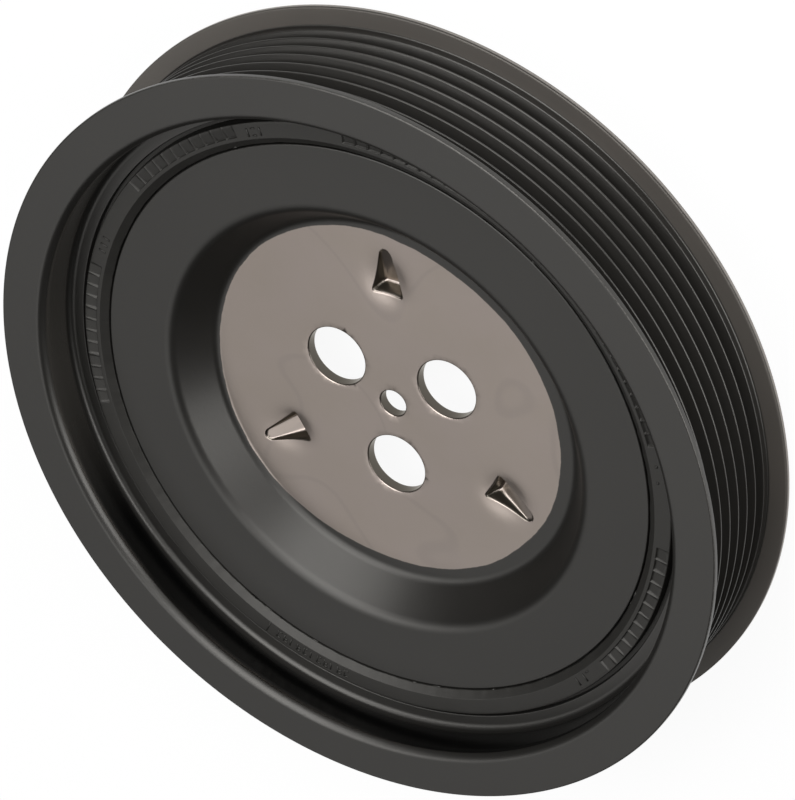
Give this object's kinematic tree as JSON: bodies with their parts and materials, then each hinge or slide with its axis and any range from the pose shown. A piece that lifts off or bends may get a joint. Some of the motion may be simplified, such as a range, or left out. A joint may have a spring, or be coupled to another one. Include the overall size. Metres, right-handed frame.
{
  "type": "harmonic balancer",
  "caption": "Crankshaft pulley and torsional vibration damper: a pressed, bolted hub, a bonded rubber ring and a heavy outer ring with a ribbed belt track and front recess.",
  "frame": {"origin": "centre of the face that seats on the crankshaft: the rear face of the hub's centre disc, on the axis, which is also the centre of the bolt circle", "axes": "+Z along the axis, out of the front face, away from the engine; one bolt hole lies on +Y"},
  "size_m": [0.1688, 0.1688, 0.0307],
  "materials": {
    "hub_steel": "thin satin black paint on pressed steel, centre disc left bare and satin",
    "damper_rubber": "matt moulded rubber with a raised scale of plain tick boxes and thin flash",
    "ring_iron": "thin satin black paint on turned iron, worn bright along the edges"
  },
  "bodies": {
    "root": {"hub": "hub_steel", "rubber_ring": "damper_rubber", "pulley_ring": "ring_iron"}
  },
  "joints": []
}
